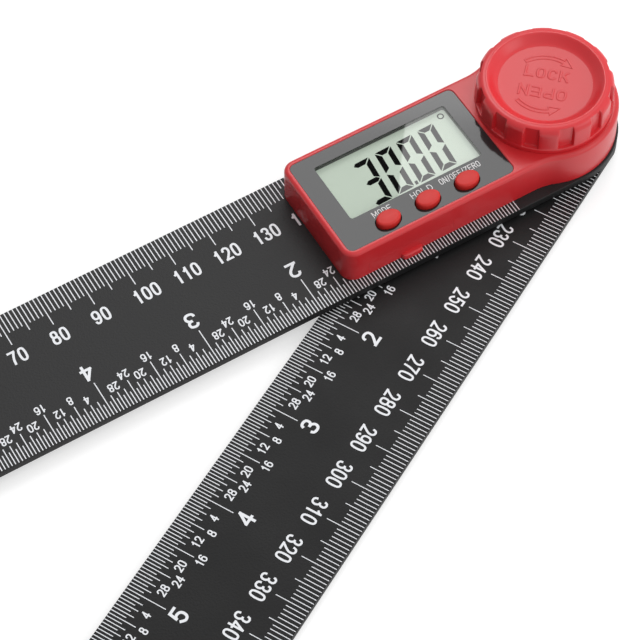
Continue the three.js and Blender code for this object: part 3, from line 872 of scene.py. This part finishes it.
# One figure's bars: w and h are its width and height, s is a bar's width and g the space that is
# left at a bar's end.
def bars(w=4.15, h=12.2, s=1.28, g=0.18):
    mid, slope = h / 2, 0.7 * s
    return {
        "top": [(g, h), (w - g, h), (w - s - g, h - s), (s + g, h - s)],
        "top_end": [(0.5, h), (w - g, h), (w - s - g, h - s), (0.8, h - s), (0, h - 0.68)],
        "bottom": [(g, 0), (s + g, s), (w - s - g, s), (w - g, 0)],
        "bottom_end": [(0.5, 0), (0, 0.68), (0.8, s), (w - s - g, s), (w - g, 0)],
        "upper_left": [(0, h - g), (s, h - s - g), (s, mid + g + slope), (0, mid + g)],
        "lower_left": [(0, g), (0, mid - g), (s, mid - g - slope), (s, s + g)],
        "upper_right": [(w, h - g), (w, mid + g), (w - s, mid + g + slope), (w - s, h - s - g)],
        "lower_right": [(w, g), (w - s, s + g), (w - s, mid - g - slope), (w, mid - g)],
        "middle": [
            (0.45, mid),
            (1.15, mid + s / 2),
            (w - 0.9, mid + s / 2),
            (w - 0.2, mid),
            (w - 0.9, mid - s / 2),
            (1.15, mid - s / 2),
        ],
    }


zero_bars = ("top", "bottom", "upper_left", "lower_left", "upper_right", "lower_right")
three_bars = ("top_end", "middle", "bottom_end", "upper_right", "lower_right")
figure_pitch, figure_lean, readout_tilt = 5.68, 7.5, 2
readout_foot = Vector((-46.5, -4.81))


def readout():
    shapes = bars()
    lean = math.tan(math.radians(figure_lean))
    polygons = []
    for i, names in enumerate((three_bars, zero_bars, zero_bars, zero_bars)):
        for name in names:
            polygons.append([(x + figure_pitch * i + y * lean - 0.07, y) for x, y in shapes[name]])
    polygons.append([(10.25, 0.1), (10.95, 0.1), (11.08, 1.05), (10.38, 1.05)])
    spun = Matrix.Rotation(math.radians(readout_tilt), 2)
    return [[spun @ Vector(point) + readout_foot for point in each] for each in polygons]


# Flat outlines made thin closed plates.
def thin_plates(shape, polygons, low, high):
    for polygon in polygons:
        under = [vertex(shape, x, y, low) for x, y in polygon]
        over = [vertex(shape, x, y, high) for x, y in polygon]
        shape.faces.new(over)
        shape.faces.new(under[::-1])
        band(shape, under, over)


figures = bmesh.new()
thin_plates(figures, readout(), glass_top, segment_top)
degree_ring = arc(-21.6, 8.9, 0.66, 0, 345, 23)
raised_line(figures, degree_ring, 0.3, glass_top, segment_top, closed=True)
bmesh.ops.recalc_face_normals(figures, faces=figures.faces)
dress(piece("readout", figures), black_segment, "head", "lcd")


# Buttons: three oval keys of the cover's red plastic, flat on top with a rounded shoulder. Each
# stands in its hole in the panel with a thin dark seam round it.
key_red = red_plastic("key_red", (0.6, 0.024, 0.02), 0.46, 0.34)
button_names = ("mode", "hold", "power")
key_foot, key_wall_top, key_shoulder = 10.62, 14.2, 14.48
key_levels = [(0, key_foot), (0, key_wall_top)]
for i in range(9):
    a = math.pi / 2 * i / 8
    key_levels.append((0.62 * (1 - math.cos(a)), key_shoulder + 0.6 * math.sin(a)))
key_levels += [(1.1, 15.15), (1.6, 15.19), (1.95, 15.2)]
for x, name in zip(button_xs, button_names):
    key = plate("key_" + name, [oval(x)], key_levels)
    dress(key, key_red, "button_" + name, "red_plastic", "button_" + name)


# Lock knob: a red cap with twelve finger pads round its side and a rim that slopes in to a dish,
# screwed down on the pivot bolt. Each step round gives an angle and how deep the groove is there.
pads, pad_turn = 12, -0.5
pad_half = [(7.6, 0), (8.1, 0.05), (8.45, 0.17), (8.7, 0.4), (8.87, 0.7), (9.05, 0.95)]
pad_half += [(9.35, 1), (12, 1)]
pad_steps = [(-a, depth) for a, depth in pad_half[::-1]]
pad_steps += [(-5, 0), (0, 0), (5, 0), *pad_half, (15, 1)]
pad_edges = [
    (math.radians(360 / pads * pad + pad_turn + offset), depth)
    for pad in range(pads)
    for offset, depth in pad_steps
]
# Each ring is a radius and a height on the pads, and the same in the grooves where they differ.
knob_profile = [
    (12.5, 18.3), (12.5, 13.84), (15.44, 13.84), (15.49, 13.86), (15.5, 13.91), (15.5, 14.9),
    (15.49, 15.02), (15.46, 15.08, 15.42, 15.07), (15.44, 15.14, 15.2, 15.1),
    (15.43, 15.2, 14.75, 15.12), (15.42, 15.3, 14.52, 15.18), (15.41, 15.45, 14.45, 15.32),
    (15.38, 16.2, 14.45, 16.2), (15.34, 18, 14.45, 18),
]
groove_radius = 14.45
shoulder, shoulder_radius, shoulder_z = 1.85, 13.45, 19.3
for i in range(14):
    a = math.pi / 2 * i / 13
    knob_radius = shoulder_radius + shoulder * math.cos(a)
    knob_z = shoulder_z + shoulder * math.sin(a)
    knob_profile.append((knob_radius, knob_z, min(knob_radius, groove_radius), knob_z))
knob_profile += [
    (13.28, 21.21), (13.1, 21.25), (12.92, 21.2), (12.75, 21.08), (12.4, 20.74), (11.8, 20.16),
    (11.3, 19.7), (10.9, 19.42), (10.7, 19.33), (10.52, 19.26), (10.52, 18.3),
]
knob_red = red_plastic("knob_red", (0.68, 0.019, 0.027), 0.3, 0.62)
turning = bmesh.new()
knob_rings = []
for radius, z, *groove in knob_profile:
    deep_radius, deep_z = groove or (radius, z)
    ring = []
    for angle, depth in pad_edges:
        r = radius + (deep_radius - radius) * depth
        h = z + (deep_z - z) * depth
        ring.append(vertex(turning, r * math.cos(angle), r * math.sin(angle), h))
    knob_rings.append(ring)
for low, high in zip(knob_rings, knob_rings[1:] + knob_rings[:1]):
    band(turning, low, high)
bmesh.ops.recalc_face_normals(turning, faces=turning.faces)
dress(piece("finger_knob", turning, sharp=45), knob_red, "knob", "red_plastic", "lock_knob")


# Knob cap: the flat disc in the knob's dish. The two words and their arrows are raised on it in
# fine flat lines, turned to read along the arms.
disc_red = red_plastic("disc_red", (0.62, 0.02, 0.026), 0.4, 0.62)
cap_radius, cap_base, cap_top, relief_top = 10.515, 18.45, 19.25, 19.36
cap = plate("cap_disc", [circle(cap_radius, sides=96)], straight(cap_base, cap_top))
dress(cap, disc_red, "knob", "red_plastic", "knob_cap")
cap_words = [
    ("LOCK", 1.72, 1.99, 3.1, 2.25, 0.36, 0.62, -44.7),
    ("OPEN", -2.05, -1.86, 3.1, 2.4, 0.45, 0.62, 135.8),
]


# The outline of an arrow bent along an arc, from its tail to its tip.
def bent_arrow(x, y, radius, tail, tip, half=0.42, head=19, wing=1.15):
    way = 1 if tip > tail else -1
    neck = tip - way * head
    steps = 18
    sweep = [tail + (neck - tail) * i / steps for i in range(steps + 1)]
    points = [(radius + half, a) for a in sweep] + [(radius + wing, neck), (radius, tip)]
    points += [(radius - wing, neck)] + [(radius - half, a) for a in sweep[::-1]]
    return [
        (x + r * math.cos(math.radians(a)), y + r * math.sin(math.radians(a))) for r, a in points
    ]


relief = bmesh.new()
for arrow in (bent_arrow(-0.3, -0.25, 7.7, 90, 4), bent_arrow(-0.3, -0.25, 7.5, 182, 262)):
    raised_line(relief, arrow, 0.5, cap_top, relief_top, closed=True, slope=0.14)
bmesh.ops.recalc_face_normals(relief, faces=relief.faces)
arrows = mesh_of("arrows", relief)
cap_print = lettering("cap_words", cap_words, cap_top, relief_top, slope=0.16)
raised = joined("cap_relief", [(arrows, straight_on), (cap_print, straight_on)])
dress(raised, disc_red, "knob", "red_plastic")


# Battery tray: a drawer for the coin cell that slides out of the front wall. Its face is flush
# with the wall, with only a hairline round it and a finger lip low in the middle.
tray_base, tray_top, cell_x, cell_y = 4.5, 8.3, -43.8, -3.3
tray_outline = rounded_box(-54.55, -33.05, -20, 2.9, 0.3, 2)
tray = plate("drawer", [tray_outline], straight(tray_base, tray_top))
cut(tray, [plate("shape", [head_outline], head_levels)], "INTERSECT")
cut(
    tray,
    [
        plate("well", [circle(10.1, cell_x, cell_y, 64)], straight(5, 9)),
        plate("mouth", [rounded_box(-53.9, -33.7, cell_y, 9, 0.1, 1)], straight(5, 9)),
        plate("floor_hole", [circle(6, cell_x, cell_y)], straight(3, 9)),
    ],
)
lip_shape = bmesh.new()
lip_sections = []
lip_half, lip_flat, lip_round = 2.8, 0.9, 0.5
lip_front, lip_back, lip_back_top = -14.5, -14.4, 1.48
for k in range(13):
    across = -1 + 2 * k / 12
    swell = (1 - across**6) ** 0.5
    rise = 0.8 + 0.2 * swell
    row = [(lip_front - (lip_flat + lip_round) * swell, tray_base)]
    for i in range(9):
        a = math.pi / 2 * i / 8
        out, up = lip_flat + lip_round * math.cos(a), lip_flat + lip_round * math.sin(a)
        row.append((lip_front - out * swell, tray_base + up * rise))
    row += [(lip_back, tray_base + lip_back_top * rise), (lip_back, tray_base)]
    x = cell_x + lip_half * across
    lip_sections.append([vertex(lip_shape, x, y, z) for y, z in row])
for left_row, right_row in zip(lip_sections, lip_sections[1:]):
    band(lip_shape, left_row, right_row)
lip_shape.faces.new(lip_sections[0])
lip_shape.faces.new(lip_sections[-1][::-1])
bmesh.ops.recalc_face_normals(lip_shape, faces=lip_shape.faces)
lip_shape.from_mesh(tray.data)
tray_piece = piece("battery_drawer", lip_shape)
bpy.data.objects.remove(tray)
dress(tray_piece, red_abs, "tray", "red_plastic", "battery_tray")


# Screws: steel, with countersunk heads and cross recesses. Four hold the cover down through the
# upper arm, and three hold the hub on the lower arm. All are driven from below.
satin_steel = moulded("satin_steel", (0.62, 0.63, 0.65), 0.3, 0.0004, 0.08, Metallic=1.0)


def screws_tree(material):
    tree = bpy.data.node_groups.new("cross_screws", "GeometryNodeTree")
    socket = tree.interface.new_socket
    socket("Geometry", in_out="INPUT", socket_type="NodeSocketGeometry")
    for name in ("Head Radius", "Head Depth", "Shank Radius", "Length", "Recess Width"):
        socket(name, in_out="INPUT", socket_type="NodeSocketFloat")
    socket("Geometry", in_out="OUTPUT", socket_type="NodeSocketGeometry")
    link = tree.links.new
    given = add_node(tree, "NodeGroupInput").outputs
    head = add_node(tree, "GeometryNodeMeshCone", Vertices=32)
    link(given["Head Radius"], head.inputs["Radius Bottom"])
    link(given["Shank Radius"], head.inputs["Radius Top"])
    link(given["Head Depth"], head.inputs["Depth"])
    shank = add_node(tree, "GeometryNodeMeshCone", Vertices=32)
    link(given["Shank Radius"], shank.inputs["Radius Bottom"])
    link(given["Shank Radius"], shank.inputs["Radius Top"])
    link(given["Length"], shank.inputs["Depth"])
    screw = add_node(tree, "GeometryNodeMeshBoolean", operation="UNION", solver="EXACT")
    link(head.outputs["Mesh"], screw.inputs["Mesh 2"])
    link(shank.outputs["Mesh"], screw.inputs["Mesh 2"])
    long = add_node(tree, "ShaderNodeMath", operation="MULTIPLY")
    long.inputs[1].default_value = 1.25
    link(given["Head Radius"], long.inputs[0])
    recess = add_node(tree, "GeometryNodeMeshBoolean", operation="DIFFERENCE", solver="EXACT")
    link(screw.outputs["Mesh"], recess.inputs["Mesh 1"])
    for wide, deep in ((0, 1), (1, 0)):
        size = add_node(tree, "ShaderNodeCombineXYZ")
        link(long.outputs[0], size.inputs[wide])
        link(given["Recess Width"], size.inputs[deep])
        link(given["Head Depth"], size.inputs["Z"])
        blade = add_node(tree, "GeometryNodeMeshCube")
        link(size.outputs[0], blade.inputs["Size"])
        link(blade.outputs["Mesh"], recess.inputs["Mesh 2"])
    placed = add_node(tree, "GeometryNodeInstanceOnPoints")
    link(given["Geometry"], placed.inputs["Points"])
    link(recess.outputs["Mesh"], placed.inputs["Instance"])
    real = add_node(tree, "GeometryNodeRealizeInstances")
    link(placed.outputs[0], real.inputs[0])
    plated = add_node(tree, "GeometryNodeSetMaterial")
    plated.inputs["Material"].default_value = material
    link(real.outputs[0], plated.inputs[0])
    out = add_node(tree, "NodeGroupOutput")
    link(plated.outputs[0], out.inputs["Geometry"])
    return tree


cross_screws = screws_tree(satin_steel)


recess_width = 0.36


def screw_set(name, places, z, length, head_radius, head_depth, shank_radius):
    seed = bpy.data.meshes.new(name + "_places")
    seed.from_pydata([(x / 1000, y / 1000, z / 1000) for x, y in places], [], [])
    mesh = grown(
        name,
        cross_screws,
        seed,
        **{
            "Head Radius": head_radius / 1000,
            "Head Depth": head_depth / 1000,
            "Shank Radius": shank_radius / 1000,
            "Length": length / 1000,
            "Recess Width": recess_width / 1000,
        },
    )
    return joined(name, [(mesh, straight_on)])


case_size = {"length": 6.4, "head_radius": 1.5, "head_depth": 0.8, "shank_radius": 0.8}
case_set = screw_set("case_screws", case_screws, upper_base, **case_size)
case_nodes = ("case_screw_1", "case_screw_2", "case_screw_3", "case_screw_4")
dress(case_set, satin_steel, "head", "steel", *case_nodes)
hub_places = [tuple(swing @ Vector((x, y, 0)))[:2] for x, y in hub_screws]
hub_size = {"length": 5, "head_radius": 1.59, "head_depth": 0.9, "shank_radius": 0.9}
hub_set = screw_set("hub_screws", hub_places, 0, **hub_size)
dress(hub_set, satin_steel, "arm", "steel", "hub_screw_1", "hub_screw_2", "hub_screw_3")


# Pivot bolt: turned steel, with a low round head let into the lower arm from below and a hexagon
# socket in it. The knob's brass insert screws down on its upper end.
bolt_head_radius, socket_radius = 5, 1.8
bolt = plate(
    "socket_bolt",
    [circle(bolt_head_radius, sides=64)],
    [(-0.45, 0), (-0.12, 0.08), (0, 0.3), (0, 1.4), (-2, 1.4), (-2, 17.7), (-2.25, 17.95)],
)
cut(bolt, [plate("socket", [circle(socket_radius, sides=6)], straight(-1, 1.3))])
dress(bolt, satin_steel, "arm", "steel", "pivot_bolt")


# Inner parts and metal: the pieces that are hidden, or seen only from below or with the tray
# out, keep their CAD shapes and get their own finishes.
turned_brass = moulded("turned_brass", (0.72, 0.5, 0.2), 0.32, 0.0004, 0.05, Metallic=1.0)
natural_nylon = moulded("natural_nylon", (0.78, 0.76, 0.68), 0.5, 0.0005, 0.1)
board_lacquer = moulded("board_lacquer", (0.01, 0.1, 0.035), 0.25, 0.0012, 0.1, mottle=0.4)
black_holder = moulded("black_holder", (0.03, 0.03, 0.031), 0.45, 0.0004, 0.15)
black_rubber = moulded("black_rubber", (0.02, 0.02, 0.02), 0.75, 0.0003, 0.2)
finishes = [
    (satin_steel, "pivot_hub", "clamp_washer", "coin_cell", "cell_contact_top", "cell_contact_rim"),
    (satin_steel, *["key_dome_" + name for name in button_names]),
    (turned_brass, "knob_insert"),
    (natural_nylon, "slip_ring"),
    (board_lacquer, "circuit_board", "sensor_rotor"),
    (black_holder, "glass_holder", "display_chip"),
    (black_rubber, "contact_strip"),
]
for finish, *nodes in finishes:
    for node in nodes:
        materials = bpy.data.objects[node].data.materials
        materials.clear()
        materials.append(finish)
